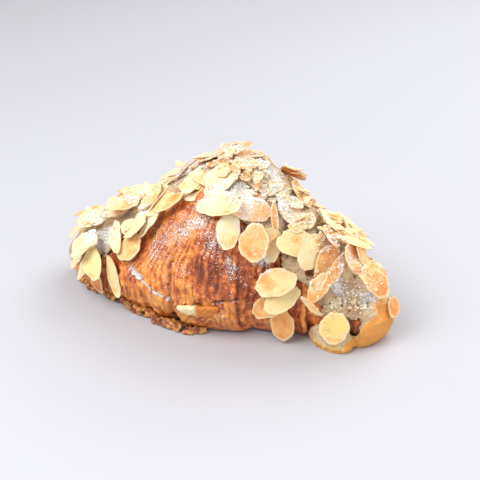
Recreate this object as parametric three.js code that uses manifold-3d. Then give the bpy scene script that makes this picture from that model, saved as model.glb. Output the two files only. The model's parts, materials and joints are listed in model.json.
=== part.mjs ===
import * as THREE from "three";
import { mergeVertices } from "three/addons/utils/BufferGeometryUtils.js";
import Module from "manifold-3d";

// An almond croissant, in millimetres: a split and filled pastry, almond cream baked over its top,
// and sliced almonds lying in the cream. X runs along its length, -Y is the side where the crust
// shows, and Z is up from the surface that it lies on.

const gap = 0.35; // kept between two pieces that touch

// Pastry: stations along X, each with the value there
const halfWidths = [
  [-88, 12], [-72, 20], [-52, 29], [-32, 37], [-12, 41],
  [10, 37], [34, 28], [56, 24], [72, 20], [81, 16],
];
const heights = [
  [-88, 17], [-74, 28], [-54, 40], [-34, 52], [-16, 66], [2, 73],
  [20, 69], [36, 55], [54, 42], [70, 29], [81, 19],
];
const sideways = [[-88, 3], [-50, 2], [-12, -1], [12, -2], [36, -1], [58, -2], [81, -6]];
const tipRadius = 11; // how far from its end a tip starts to round off
const waistShare = 0.38; // height of the widest place, as a share of the full height
const sunkShare = 0.3; // how far the round underside is pressed flat
const tipHeightShare = 0.55; // height left at the very tips
const sideRoundness = 0.92; // under 1 is fuller than an ellipse
const topRoundness = 0.94;

// Wraps of the rolled dough: each one's lip stands over the next one out
const wrapCentre = 2;
const leftWraps = [-60, 6.5, 22, 38, 52, 66, 110];
const rightWraps = [-60, 12.5, 28, 43, 58, 110];
const lipRise = 1.5;
const lipBlend = 1.6;
const leftSlant = 10; // how far a wrap runs outwards from the top to the front
const rightSlant = 3;
const slantAngle = 65; // where that run ends
const wrapSwell = 0.6; // how far each wrap bulges between its lips

const pastryStations = 54;
const pastrySides = 32;

// The split along the front, where the filling shows: its roof and floor, seen from the front
const splitRoof = [[-12, 18.4], [-8, 19.6], [-3, 19.9], [2, 20.3], [6, 20.9], [8.5, 21.1]];
const splitFloor = [[-12, 17.4], [-9, 15.6], [-5, 14.3], [0, 14.1], [5, 15.8], [8.5, 19.6]];
const splitSteps = 24;
const splitDepth = 14;
const splitFront = -40; // Y of the pastry's front beside the split
const fillingLeft = -11;
const fillingRight = 8;

// Almond cream: the angles of its front and back edges at stations along X
const creamFront = [
  [-87, -64], [-80, -82], [-74, -72], [-68, -92], [-62, -84], [-56, -62], [-48, -44], [-36, -30],
  [-24, -18], [-14, -9], [-6, -14], [4, -32], [14, -42], [24, -46], [30, -60], [36, -72], [44, -64],
  [49, -70], [54, -84], [66, -84], [70, -72], [74, -80], [80.6, -84],
];
const creamBack = [
  [-87, 60], [-76, 74], [-66, 62], [-50, 58], [-38, 84], [-28, 60], [-8, 52], [8, 68], [20, 92], [30, 66],
  [50, 62], [62, 88], [80.6, 84],
];
const creamStations = 66;
const creamRows = 9;
const creamEdge = 0.9;
const creamThickness = 2.6;
const creamInside = 3; // how deep it is drawn into the pastry before the two are parted
const edgeBlend = 14; // degrees over which it thins to its edge
const crownX = 6;
const crownHeight = 2.5;
const crownReach = 20;
const crownAngle = 32;

// Two feet where the cream ran down to the surface: a turn about Z, then level ovals from the top
// down, each [z, x, y, half length, half width]
const feet = [
  {
    turn: -20,
    ovals: [
      [38, 58, -10, 8, 5], [30, 57, -15, 9, 6], [21, 57, -19, 9, 6.5], [13, 57.5, -21.5, 9.5, 6.5],
      [7, 58, -22.5, 11, 7], [2.5, 58.5, -23, 12, 7.5], [0, 58.5, -23, 11, 6.5],
    ],
  },
  {
    turn: 60,
    ovals: [
      [30, 71, -8, 7, 4], [22, 73.5, -9.5, 9.5, 4.5], [17, 76, -11.5, 11.5, 5], [14, 77.6, -12.6, 12.5, 6],
      [8, 76.8, -13.2, 12.8, 6.3], [2.5, 75.4, -13.2, 12, 5.5], [0, 75, -13, 11, 4.5],
    ],
  },
];
const footSides = 20;

// Caramelised rim: cream that ran out under the front and browned
const rimStart = -83;
const rimEnd = 0;
const rimReach = [
  [-83, -1], [-74, 0], [-60, -1], [-50, -1.5], [-40, -1], [-28, -1], [-18, 0], [-10, -1], [0, -5],
];
const rimThickness = 3;
const rimStations = 30;
const rimLow = -122; // angles that it runs out from
const rimHigh = -118;

// Sliced almonds in the order they fell: where the middle of each lies (x, angle), which way its
// round end points (spin, from +X towards the top), its length and width, how far it was toasted,
// and how far its round end sticks up (lean)
const almondThickness = 1.2;
const steepest = 0.45; // slope to which a slice follows what is under it
const restStep = 0.15; // how far a slice is raised at a time until it lies clear
const mostSteps = 60;
const tones = { pale: 0xf0dfae, golden: 0xe6bf7c, toasted: 0xbb6e35 };
const slices = [
  // low on the front of the left arm
  [-60, -90, -85, 17, 12, "toasted", 0],
  [-50, -84, -72, 22, 8, "pale", 0],
  [-67, -76, 58, 17, 5, "pale", 0],
  [-71, -58, 72, 20, 12, "pale", 0],
  [-58, -70, -55, 18, 11, "pale", 0],
  [-41, -54, 22, 20, 13, "golden", 0],
  [-49, -44, -70, 18, 8, "pale", 0],
  [-61, -56, 78, 18, 11, "pale", 0],
  [-73, -28, 74, 18, 9, "pale", 0],
  // along the left ridge
  [-62, -22, -10, 19, 12, "pale", 0],
  [-52, -20, 30, 18, 12, "pale", 0],
  [-28, -38, 52, 19, 8, "pale", 0],
  [-24, -24, 42, 17, 5, "golden", 12],
  [-20, -30, 32, 16, 8, "golden", 0],
  [-37, -38, -22, 20, 16, "pale", 0],
  [-40, -2, 12, 18, 13, "pale", 0],
  [-73, 0, 176, 20, 12, "golden", 6],
  [-47, -12, 68, 20, 16, "toasted", 0],
  [-33, -16, 60, 16, 11, "golden", 0],
  [-20, 12, 35, 17, 8, "golden", 12],
  [-27, 4, 14, 20, 13, "golden", 0],
  [-14, -12, 82, 18, 10, "pale", 0],
  // over the crown
  [2, -17, -12, 20, 16, "pale", 0],
  [16, -16, -8, 15, 6, "golden", 0],
  [-8, 10, 200, 20, 15, "golden", 0],
  [10.5, -50, -82, 19, 11, "pale", 0],
  [28, -49, -82, 17, 11, "pale", 0],
  [21, -53, -76, 18, 14, "golden", 0],
  [16, -34, 15, 20, 12, "golden", 0],
  [5, -37, 8, 22, 13, "golden", 0],
  [25, -33, -70, 15, 5, "golden", 0],
  [11, -6, -45, 20, 11, "pale", 0],
  [4, 0, 110, 15, 11, "toasted", 0],
  [30, 8, -40, 17, 12, "golden", 6],
  [24, 24, -50, 18, 12, "toasted", 16],
  [30, -18, -25, 21, 13, "golden", 0],
  // down the right arm
  [35.5, -109, -80, 20, 12, "toasted", 18],
  [30, -91, 205, 17, 12, "golden", 0],
  [35, -82, 205, 19, 12, "pale", 0],
  [32, -72, 205, 20, 13, "pale", 0],
  [36, -39, 14, 20, 13, "pale", 0],
  [44, -38, 62, 20, 15, "pale", 0],
  [51, -38, 68, 18, 12, "golden", 0],
  [48, -20, -80, 16, 10, "toasted", 0],
  [51, -58, -112, 17, 9, "golden", 0],
  [54, -44, 66, 24, 6, "toasted", 0],
  [59, -25, 84, 18, 14, "golden", 0],
  [49, -76, -45, 14, 4, "golden", 0],
  [61, -89, -82, 17, 14, "golden", 0],
  [46, -2, -20, 18, 13, "pale", 0],
  [56, 2, -30, 17, 12, "pale", 0],
  [60, -13, -48, 17, 10, "golden", 0],
  [69, -30, -8, 18, 13, "golden", 0],
  [79, -8, -80, 13, 8, "toasted", 0],
  // on the back
  [8, 46, 80, 20, 13, "pale", 0],
  [-38, 48, 60, 19, 13, "golden", 0],
];

const rad = THREE.MathUtils.degToRad;
const clamp = THREE.MathUtils.clamp;
const lerp = THREE.MathUtils.lerp;
const smooth = THREE.MathUtils.smoothstep;

const wasm = await Module();
wasm.setup();

// A smooth curve through stations [x, value], level past its ends
function through(stations, x) {
  const last = stations.length - 1;
  if (x <= stations[0][0]) return stations[0][1];
  if (x >= stations[last][0]) return stations[last][1];
  const i = stations.findIndex((station) => station[0] > x) - 1;
  const slopeAt = (k) => {
    const before = stations[Math.max(k - 1, 0)];
    const after = stations[Math.min(k + 1, last)];
    return (after[1] - before[1]) / (after[0] - before[0]);
  };
  const [x0, y0] = stations[i];
  const [x1, y1] = stations[i + 1];
  const run = x1 - x0;
  const t = (x - x0) / run;
  return (
    (2 * t ** 3 - 3 * t ** 2 + 1) * y0 +
    (t ** 3 - 2 * t ** 2 + t) * run * slopeAt(i) +
    (3 * t ** 2 - 2 * t ** 3) * y1 +
    (t ** 3 - t ** 2) * run * slopeAt(i + 1)
  );
}

const pastryStart = halfWidths[0][0];
const pastryEnd = halfWidths.at(-1)[0];

// How much of the full section is left near a tip, as on a quarter circle
function tipShare(x) {
  const fromEnd = Math.min(x - pastryStart, pastryEnd - x);
  const t = clamp(1 - fromEnd / tipRadius, 0, 1);
  return Math.sqrt(1 - t * t);
}

// Height of a wrap's surface over the smooth loaf: it climbs to the wrap's lip, then drops
function wrapRise(x, angle) {
  const left = x < wrapCentre;
  const edges = left ? leftWraps : rightWraps;
  const slant = left ? leftSlant : rightSlant;
  const out = Math.abs(x - wrapCentre) - slant * clamp(-angle / slantAngle, -0.6, 1);
  const i = edges.findIndex((edge) => edge > out);
  const inner = edges[i - 1];
  const outer = edges[i];
  const climb = clamp((out - inner) / (outer - inner), 0, 1);
  const drop = smooth(out, outer - lipBlend, outer);
  const swell = wrapSwell * 4 * climb * (1 - climb);
  const rise = lerp(-lipRise, lipRise, climb) + swell;
  return lerp(rise, -lipRise, drop) * tipShare(x);
}

// A point of the pastry's section at x: angle 0 is the top, -90 the front, 90 the back
function sectionPoint(x, angle, rise = 0) {
  const share = tipShare(x);
  const half = through(halfWidths, x) * share + rise;
  const height = through(heights, x) * lerp(tipHeightShare, 1, share) + rise;
  const waist = through(heights, x) * waistShare;
  const down = waist * (1 + sunkShare) * share + rise;
  const c = Math.cos(rad(angle));
  const s = Math.sin(rad(angle));
  const y = through(sideways, x) + half * Math.sign(s) * Math.abs(s) ** sideRoundness;
  const up = (height - waist) * share ** 0.5;
  const z = c > 0 ? waist + up * c ** topRoundness : waist + down * c;
  return new THREE.Vector3(x, y, Math.max(z, 0));
}

// Outward direction of the smooth section
function sectionNormal(x, angle) {
  const reach = 1.5;
  const low = Math.max(x - reach, pastryStart + 0.4);
  const high = Math.min(x + reach, pastryEnd - 0.4);
  const along = sectionPoint(high, angle).sub(sectionPoint(low, angle));
  const around = sectionPoint(x, angle + 3).sub(sectionPoint(x, angle - 3));
  return along.cross(around).normalize();
}

function pastryPoint(x, angle, offset = 0) {
  const point = sectionPoint(x, angle, wrapRise(x, angle));
  return point.addScaledVector(sectionNormal(x, angle), offset);
}

function middleOf(ring) {
  const sum = ring.reduce((total, point) => total.add(point), new THREE.Vector3());
  return sum.divideScalar(ring.length);
}

// Closed mesh from rings of points, with a point at each end
function ringsGeometry(rings, start, end) {
  const sides = rings[0].length;
  const points = [...rings.flat(), start, end];
  const index = [];
  rings.slice(1).forEach((ring, r) => {
    for (let i = 0; i < sides; i++) {
      const a = r * sides + i;
      const b = r * sides + ((i + 1) % sides);
      index.push(a, a + sides, b, b, a + sides, b + sides);
    }
  });
  const lastRing = (rings.length - 1) * sides;
  for (let i = 0; i < sides; i++) {
    const next = (i + 1) % sides;
    index.push(points.length - 2, i, next);
    index.push(points.length - 1, lastRing + next, lastRing + i);
  }
  return new THREE.BufferGeometry().setFromPoints(points).setIndex(index);
}

function solidOf(geometry) {
  const bare = geometry.clone();
  bare.deleteAttribute("normal");
  bare.deleteAttribute("uv");
  const merged = mergeVertices(bare, 1e-3);
  const mesh = new wasm.Mesh({
    numProp: 3,
    vertProperties: new Float32Array(merged.attributes.position.array),
    triVerts: new Uint32Array(merged.index.array),
  });
  return new wasm.Manifold(mesh);
}

function geometryOf(solid) {
  const { vertProperties, triVerts } = solid.getMesh();
  const geometry = new THREE.BufferGeometry();
  geometry.setAttribute("position", new THREE.BufferAttribute(vertProperties, 3));
  geometry.setIndex(new THREE.BufferAttribute(triVerts, 1));
  return geometry;
}

// Leaves out crumbs and sealed hollows
function largestBody(solid) {
  return solid.decompose().sort((a, b) => b.volume() - a.volume())[0];
}

// The whole pastry grown by offset, with a finer spacing of stations towards its tips
function pastryGeometry(offset = 0) {
  const middle = (pastryStart + pastryEnd) / 2;
  const reach = (pastryEnd - pastryStart) / 2;
  const rings = [];
  for (let i = 1; i < pastryStations; i++) {
    const t = (2 * i) / pastryStations - 1;
    const x = middle + reach * lerp(t, Math.sin((t * Math.PI) / 2), 0.45);
    const ring = [];
    for (let k = 0; k < pastrySides; k++) {
      ring.push(pastryPoint(x, (360 * k) / pastrySides - 180, offset));
    }
    rings.push(ring);
  }
  return ringsGeometry(rings, tipPoint(pastryStart, -offset), tipPoint(pastryEnd, offset));
}

function tipPoint(x, offset) {
  return new THREE.Vector3(x + offset, through(sideways, x), through(heights, x) * waistShare);
}

// The split's opening between two stations, shrunk by margin
function splitGeometry(from, to, margin = 0) {
  const roof = [];
  const floor = [];
  for (let i = 0; i <= splitSteps; i++) {
    const x = lerp(from, to, i / splitSteps);
    roof.push(new THREE.Vector2(x, through(splitRoof, x) - margin));
    floor.unshift(new THREE.Vector2(x, through(splitFloor, x) + margin));
  }
  const opening = new THREE.Shape([...roof, ...floor]);
  const depth = splitDepth + 30 - margin;
  const deep = new THREE.ExtrudeGeometry(opening, { depth, bevelEnabled: false });
  deep.rotateX(Math.PI / 2);
  return deep.translate(0, splitFront + splitDepth - margin, 0);
}

// How far it is to the cream's nearest edge, in degrees, looking along X as well
function roomToEdge(x, angle) {
  const reaches = [-3, -1.5, 0, 1.5, 3].map((step) => {
    return Math.min(angle - through(creamFront, x + step), through(creamBack, x + step) - angle);
  });
  return Math.max(Math.min(...reaches), 0);
}

// How thick the cream is: thin at its edges, heaped at the crown, and thicker where it hangs
function creamDepth(x, angle) {
  const full = smooth(roomToEdge(x, angle), 0, edgeBlend);
  const crown = crownHeight * Math.exp(-(((x - crownX) / crownReach) ** 2) - (angle / crownAngle) ** 2);
  return creamEdge + full * (creamThickness - creamEdge + crown);
}

function creamGeometry() {
  const from = creamFront[0][0];
  const to = creamFront.at(-1)[0];
  const rings = [];
  for (let i = 0; i <= creamStations; i++) {
    const x = lerp(from, to, i / creamStations);
    const front = through(creamFront, x);
    const back = through(creamBack, x);
    const outer = [];
    const inner = [];
    for (let k = 0; k <= creamRows; k++) {
      const angle = lerp(front, back, k / creamRows);
      outer.push(pastryPoint(x, angle, creamDepth(x, angle)));
      inner.unshift(pastryPoint(x, angle, -creamInside));
    }
    rings.push([...outer, ...inner]);
  }
  return ringsGeometry(rings, middleOf(rings[0]), middleOf(rings.at(-1)));
}

function footGeometry({ turn, ovals }) {
  const up = new THREE.Vector3(0, 0, 1);
  const rings = ovals.map(([z, x, y, halfLength, halfWidth]) => {
    const ring = [];
    for (let k = 0; k < footSides; k++) {
      const a = (2 * Math.PI * k) / footSides;
      const point = new THREE.Vector3(halfLength * Math.cos(a), halfWidth * Math.sin(a), 0);
      ring.push(point.applyAxisAngle(up, rad(turn)).add(new THREE.Vector3(x, y, z)));
    }
    return ring;
  });
  return ringsGeometry(rings, middleOf(rings[0]), middleOf(rings.at(-1)));
}

// The rim's section at each station, from inside the pastry out to its ragged edge
function rimGeometry() {
  const rings = [];
  for (let i = 0; i <= rimStations; i++) {
    const x = lerp(rimStart, rimEnd, i / rimStations);
    const inside = pastryPoint(x, rimLow).y + 3;
    const outside = pastryPoint(x, rimHigh).y - through(rimReach, x) - 0.5 * Math.sin(x * 1.3);
    const middle = lerp(inside, outside, 0.7);
    const top = rimThickness + 0.6 * Math.sin(x * 0.9);
    const section = [[inside, 0], [outside + 1, 0], [outside, 0.8], [middle, top], [inside, top]];
    rings.push(section.map(([y, z]) => new THREE.Vector3(x, y, z)));
  }
  return ringsGeometry(rings, middleOf(rings[0]), middleOf(rings.at(-1)));
}

const croissant = new THREE.Group();

function piece(name, geometry, colour, roughness) {
  const material = new THREE.MeshStandardMaterial({ color: colour, roughness, metalness: 0 });
  const mesh = new THREE.Mesh(geometry, material);
  mesh.name = name;
  croissant.add(mesh);
  return mesh;
}

// The outline of one slice: pointed at -X, round at +X
function sliceGeometry(length, width, depth) {
  const half = width / 2;
  const outline = new THREE.Shape();
  outline.moveTo(-0.5 * length, 0);
  outline.bezierCurveTo(-0.4 * length, 0.7 * half, -0.15 * length, half, 0.1 * length, half);
  outline.bezierCurveTo(0.38 * length, half, 0.5 * length, 0.55 * half, 0.5 * length, 0);
  outline.bezierCurveTo(0.5 * length, -0.55 * half, 0.38 * length, -half, 0.1 * length, -half);
  outline.bezierCurveTo(-0.15 * length, -half, -0.4 * length, -0.7 * half, -0.5 * length, 0);
  return new THREE.ExtrudeGeometry(outline, { depth, bevelEnabled: false, curveSegments: 4 });
}

// Heights of what lies under a slice, over its tangent plane, as [a, b, height] along its two axes
function groundUnder(centre, [lengthways, across, outward], length, width) {
  const above = 30;
  const below = 8;
  const ray = new THREE.Raycaster();
  const ground = [];
  for (const a of [-0.48, -0.36, -0.24, -0.12, 0, 0.12, 0.24, 0.36, 0.48]) {
    for (const b of [-0.45, -0.3, -0.15, 0, 0.15, 0.3, 0.45]) {
      if (Math.hypot(a, b) > 0.49) continue;
      const start = centre.clone().addScaledVector(lengthways, a * length);
      start.addScaledVector(across, b * width).addScaledVector(outward, above);
      ray.set(start, outward.clone().negate());
      const hit = ray.intersectObjects(croissant.children, false)[0];
      if (hit && hit.distance < above + below) ground.push([a * length, b * width, above - hit.distance]);
    }
  }
  return ground;
}

// The plane that fits the ground best, as [height, slope along a, slope along b]
function fittedPlane(ground) {
  const sum = (value) => ground.reduce((total, sample) => total + value(sample), 0);
  const a = sum((sample) => sample[0]);
  const b = sum((sample) => sample[1]);
  const aa = sum((sample) => sample[0] ** 2);
  const ab = sum((sample) => sample[0] * sample[1]);
  const bb = sum((sample) => sample[1] ** 2);
  const h = sum((sample) => sample[2]);
  const ah = sum((sample) => sample[0] * sample[2]);
  const bh = sum((sample) => sample[1] * sample[2]);
  const equations = new THREE.Matrix3(ground.length, a, b, a, aa, ab, b, ab, bb);
  return new THREE.Vector3(h, ah, bh).applyMatrix3(equations.invert()).toArray();
}

function lowestPoint(mesh) {
  mesh.updateMatrixWorld(true);
  return new THREE.Box3().setFromObject(mesh, true).min.z;
}

// Raises a slice along its own thickness until the room around it is empty
function raiseClear(slice, length, width) {
  const room = sliceGeometry(length + gap, width + gap, almondThickness + 2 * gap).translate(0, 0, -gap);
  const thickness = new THREE.Vector3(0, 0, 1).applyQuaternion(slice.quaternion);
  for (let step = 0; step < mostSteps; step++) {
    slice.updateMatrixWorld(true);
    const space = solidOf(room.clone().applyMatrix4(slice.matrixWorld));
    if (laid.every((solid) => solid.intersect(space).isEmpty())) return;
    slice.position.addScaledVector(thickness, restStep);
  }
}

// Lays a slice on what is already there, tilted as the ground is, and lifts it clear
function laySlice(name, [x, angle, spin, length, width, tone, lean]) {
  const centre = pastryPoint(x, angle);
  const outward = sectionNormal(x, Math.max(angle, -90));
  const lengthways = new THREE.Vector3(1, 0, 0).projectOnPlane(outward).normalize();
  lengthways.applyAxisAngle(outward, rad(spin));
  const across = outward.clone().cross(lengthways);
  const ground = groundUnder(centre, [lengthways, across, outward], length, width);
  const [height, fittedA, fittedB] = fittedPlane(ground);
  const slopeA = clamp(fittedA, -steepest, steepest) + Math.tan(rad(lean));
  const slopeB = clamp(fittedB, -steepest, steepest);
  const lift = Math.max(...ground.map(([a, b, h]) => h - height - slopeA * a - slopeB * b));

  const xAxis = lengthways.clone().addScaledVector(outward, slopeA).normalize();
  const zAxis = xAxis.clone().cross(across.clone().addScaledVector(outward, slopeB)).normalize();
  const yAxis = zAxis.clone().cross(xAxis);
  const slice = piece(name, sliceGeometry(length, width, almondThickness), tones[tone], 0.5);
  slice.quaternion.setFromRotationMatrix(new THREE.Matrix4().makeBasis(xAxis, yAxis, zAxis));
  slice.position.copy(centre).addScaledVector(outward, height + lift + gap);
  slice.position.z += Math.max(0, gap - lowestPoint(slice));
  raiseClear(slice, length, width);
  laid.push(solidOf(slice.geometry.clone().applyMatrix4(slice.matrixWorld)));
}

const grownPastry = solidOf(pastryGeometry(gap));
const split = solidOf(splitGeometry(splitRoof[0][0], splitRoof.at(-1)[0]));
const pastry = solidOf(pastryGeometry()).subtract(split);
const filling = solidOf(splitGeometry(fillingLeft, fillingRight, gap)).intersect(grownPastry);
const baked = feet.reduce((sum, foot) => sum.add(solidOf(footGeometry(foot))), solidOf(creamGeometry()));
const cream = largestBody(baked.subtract(grownPastry));
const rim = solidOf(rimGeometry()).subtract(grownPastry);
piece("pastry", geometryOf(pastry), 0xb5692c, 0.55);
piece("almond_filling", geometryOf(filling), 0xe3c277, 0.6);
piece("almond_cream", geometryOf(cream), 0xe2d3b0, 0.7);
piece("caramel_rim", geometryOf(rim), 0x5a2a12, 0.35);

const laid = [pastry, cream, rim];
slices.forEach((slice, i) => laySlice(`almond_slice_${String(i + 1).padStart(2, "0")}`, slice));

// The origin is under the middle of the whole croissant
const bounds = new THREE.Box3().setFromObject(croissant, true);
const middle = bounds.getCenter(new THREE.Vector3());
croissant.position.set(-middle.x, -middle.y, -bounds.min.z);
const almondCroissant = new THREE.Group().add(croissant);

export default almondCroissant;
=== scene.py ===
import json
import math
import random

import bpy
import numpy as np
from mathutils import Matrix, Vector, noise
from mathutils.bvhtree import BVHTree


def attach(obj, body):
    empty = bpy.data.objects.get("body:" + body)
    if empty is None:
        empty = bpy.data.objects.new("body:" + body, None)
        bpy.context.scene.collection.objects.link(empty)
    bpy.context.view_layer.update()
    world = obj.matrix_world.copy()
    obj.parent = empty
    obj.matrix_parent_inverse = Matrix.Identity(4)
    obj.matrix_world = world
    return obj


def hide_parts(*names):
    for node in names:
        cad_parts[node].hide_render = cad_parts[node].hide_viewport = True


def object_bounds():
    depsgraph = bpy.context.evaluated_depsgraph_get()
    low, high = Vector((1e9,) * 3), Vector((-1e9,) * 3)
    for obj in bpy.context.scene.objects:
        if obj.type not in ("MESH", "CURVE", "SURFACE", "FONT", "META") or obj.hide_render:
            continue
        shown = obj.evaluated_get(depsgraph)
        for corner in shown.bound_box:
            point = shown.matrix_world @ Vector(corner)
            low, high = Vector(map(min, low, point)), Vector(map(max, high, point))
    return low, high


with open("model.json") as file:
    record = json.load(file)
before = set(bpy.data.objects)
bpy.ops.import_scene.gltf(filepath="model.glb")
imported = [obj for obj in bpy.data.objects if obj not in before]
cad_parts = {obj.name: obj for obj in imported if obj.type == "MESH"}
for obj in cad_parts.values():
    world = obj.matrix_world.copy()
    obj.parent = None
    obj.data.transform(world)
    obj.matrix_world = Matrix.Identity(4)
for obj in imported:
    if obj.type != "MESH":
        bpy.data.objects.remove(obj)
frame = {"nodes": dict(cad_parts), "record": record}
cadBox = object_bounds()
nodes = frame["nodes"]
mm = 0.001
boxLow = np.array(cadBox[0])
boxHigh = np.array(cadBox[1])
print("croissant: frame loaded, box", [round(v / mm, 1) for v in (boxHigh - boxLow)], "mm")


# ---- small tools ----

def clearSelection():
    bpy.ops.object.select_all(action="DESELECT")


def pick(piece):
    clearSelection()
    piece.select_set(True)
    bpy.context.view_layer.objects.active = piece


def pointsOf(piece):
    flat = np.empty(len(piece.data.vertices) * 3)
    piece.data.vertices.foreach_get("co", flat)
    return flat.reshape(-1, 3)


def normalsOf(piece):
    flat = np.empty(len(piece.data.vertices) * 3)
    piece.data.vertices.foreach_get("normal", flat)
    return flat.reshape(-1, 3)


def setPoints(piece, points):
    inside = np.clip(points, boxLow, boxHigh)  # nothing grows past the frame's own box
    piece.data.vertices.foreach_set("co", inside.ravel())
    piece.data.update()


def addValues(piece, **lists):
    # one or three numbers for each point of a piece, for its material to read
    for name, values in lists.items():
        kind, key = ("FLOAT", "value") if np.ndim(values) == 1 else ("FLOAT_VECTOR", "vector")
        layer = piece.data.attributes.new(name, kind, "POINT")
        layer.data.foreach_set(key, np.asarray(values, np.float32).ravel())


def applyModifier(piece, kind, **settings):
    pick(piece)
    modifier = piece.modifiers.new(kind.title(), kind)
    for key, value in settings.items():
        setattr(modifier, key, value)
    bpy.ops.object.modifier_apply(modifier=modifier.name)


def addObject(name, data):
    made = bpy.data.objects.new(name, data)
    bpy.context.scene.collection.objects.link(made)
    return made


def editAll():
    bpy.ops.object.mode_set(mode="EDIT")
    bpy.ops.mesh.select_all(action="SELECT")


def copyNode(nodeName, pieceName):
    # a copy of the frame's node with its loose triangles merged
    piece = addObject(pieceName, nodes[nodeName].data.copy())
    piece.data.materials.clear()
    pick(piece)
    editAll()
    bpy.ops.mesh.remove_doubles(threshold=1e-6)
    bpy.ops.object.mode_set(mode="OBJECT")
    return piece


def fineCopy(nodeName, pieceName, voxel, smoothing):
    # an even skin of small faces over the node's shape, with its facets smoothed away
    piece = copyNode(nodeName, pieceName)
    applyModifier(piece, "REMESH", mode="VOXEL", voxel_size=voxel, adaptivity=0)
    applyModifier(piece, "SMOOTH", factor=0.5, iterations=smoothing)
    bpy.ops.object.shade_smooth()
    return piece


def finish(piece, material, slotName, *replaced):
    piece.data.materials.clear()
    piece.data.materials.append(material)
    if replaced:
        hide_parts(*replaced)
    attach(piece, "root")


def ramp(value, low, high):
    t = np.clip((np.asarray(value, float) - low) / (high - low), 0, 1)
    return t * t * (3 - 2 * t)


def bell(value, reach):
    # 1 where the value is 0, fading out over the reach
    return np.exp(-((value / reach) ** 2))


def awayFrom(places, x, y, z, reach):
    # squared distance from a spot, measured in its reach
    return ((places - [x, y, z]) ** 2).sum(1) / reach**2


def noiseOver(points, size, seed):
    # smooth noise about -1 to 1 over rows of three numbers, features of the given size
    shift = Vector((seed * 17.3, seed * 5.1, seed * 9.7))   # each seed is a place far off from the others
    return np.array([noise.noise(Vector(p) / size + shift) for p in points.tolist()])


# ---- the loaf's own coordinates ----
# mm from the middle of the pastry, with z up from the floor, and the angle round it:
# 0 on top, -90 at the front, 90 at the back

loaf = {
    "stationGap": 4.0,    # mm between the places where it is measured
    "waistShare": 0.38,   # height of its widest part, as a share of its top
    "sunkShare": 0.3,     # how much deeper the part under the waist counts, for the angles there
    "searchFrom": 2.2,    # how far out a search for the surface starts, in loaf radii
}
pastryPoints = pointsOf(nodes["pastry"])
pastryLow, pastryHigh = pastryPoints.min(0), pastryPoints.max(0)
home = np.array([(pastryLow[0] + pastryHigh[0]) / 2, (pastryLow[1] + pastryHigh[1]) / 2, 0])
halfLength = (pastryHigh[0] - pastryLow[0]) / 2 / mm


def fromHome(points):
    return (points - home) / mm


def measureLoaf():
    points = fromHome(pastryPoints)
    rows = []
    for x in np.arange(2 - halfLength, halfLength - 1, loaf["stationGap"]):
        near = points[np.abs(points[:, 0] - x) < loaf["stationGap"]]
        rows.append((x, near[:, 1].min(), near[:, 1].max(), near[:, 2].max()))
    return np.array(rows)


loafRows = measureLoaf()


def loafAt(x):
    front, back, top = (np.interp(x, loafRows[:, 0], loafRows[:, k]) for k in (1, 2, 3))
    return (front + back) / 2, (back - front) / 2, top


def aroundLoaf(places):
    # the angle in degrees of each place
    middle, half, top = loafAt(places[:, 0])
    waist = top * loaf["waistShare"]
    rise = places[:, 2] - waist
    reach = np.where(rise > 0, top - waist, waist * (1 + loaf["sunkShare"]))
    return np.degrees(np.arctan2((places[:, 1] - middle) / half, rise / reach))


def onLoaf(x, angle):
    # a point outside the loaf and the direction back to it, for finding the surface there
    middle, half, top = loafAt(x)
    waist = top * loaf["waistShare"]
    turned = math.radians(angle)
    away = Vector((0, half * math.sin(turned), (top - waist) * math.cos(turned)))
    centre = Vector(home) + Vector((x, middle, waist)) * mm
    return centre + away * loaf["searchFrom"] * mm, -away.normalized()


# ---- materials ----

def newMaterial(name, roughness, **sockets):
    material = bpy.data.materials.new(name)
    material.use_nodes = True
    tree = material.node_tree
    shader = tree.nodes["Principled BSDF"]
    shader.inputs["Roughness"].default_value = roughness
    for key, value in sockets.items():
        shader.inputs[key.replace("_", " ")].default_value = value
    return material, tree, shader


def softMaterial(name, roughness, weight, depth):
    # light goes a little way into it
    return newMaterial(name, roughness, Subsurface_Weight=weight, Subsurface_Scale=depth)


def addNode(tree, kind, settings=None, **links):
    node = tree.nodes.new(kind)
    for key, value in (settings or {}).items():
        if key in node.inputs and not hasattr(node, key):
            node.inputs[key].default_value = value
        else:
            setattr(node, key, value)
    for key, source in links.items():
        tree.links.new(source, node.inputs[key])
    return node


def readValue(tree, name, output="Fac"):
    return addNode(tree, "ShaderNodeAttribute", {"attribute_name": name}).outputs[output]


def noiseNode(tree, source, size, detail, roughness=0.6, squeeze=None):
    # pattern whose features are about size wide, in the units of source
    if squeeze:
        source = addNode(tree, "ShaderNodeMapping", {"Scale": squeeze}, Vector=source).outputs[0]
    settings = {"Scale": 1 / size, "Detail": detail, "Roughness": roughness}
    return addNode(tree, "ShaderNodeTexNoise", settings, Vector=source).outputs["Fac"]


def fade(tree, value, low, high):
    node = addNode(tree, "ShaderNodeMapRange", {"interpolation_type": "SMOOTHSTEP"})
    tree.links.new(value, node.inputs[0])
    node.inputs[1].default_value = low
    node.inputs[2].default_value = high
    return node.outputs[0]


def between(tree, value, low, high):
    # a 0 to 1 value brought to the range from low to high
    node = addNode(tree, "ShaderNodeMapRange")
    node.inputs[3].default_value = low
    node.inputs[4].default_value = high
    tree.links.new(value, node.inputs[0])
    return node.outputs[0]


def mathNode(tree, operation, a, b):
    node = addNode(tree, "ShaderNodeMath", {"operation": operation})
    for socket, value in zip(node.inputs, (a, b)):
        if isinstance(value, (int, float)):
            socket.default_value = value
        else:
            tree.links.new(value, socket)
    return node.outputs[0]


def times(tree, a, b):
    return mathNode(tree, "MULTIPLY", a, b)


def addUp(tree, *terms):
    # the sum of values, each times its share
    total = None
    for value, share in terms:
        term = value if share == 1 else times(tree, value, share)
        total = term if total is None else mathNode(tree, "ADD", total, term)
    return total


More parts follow.
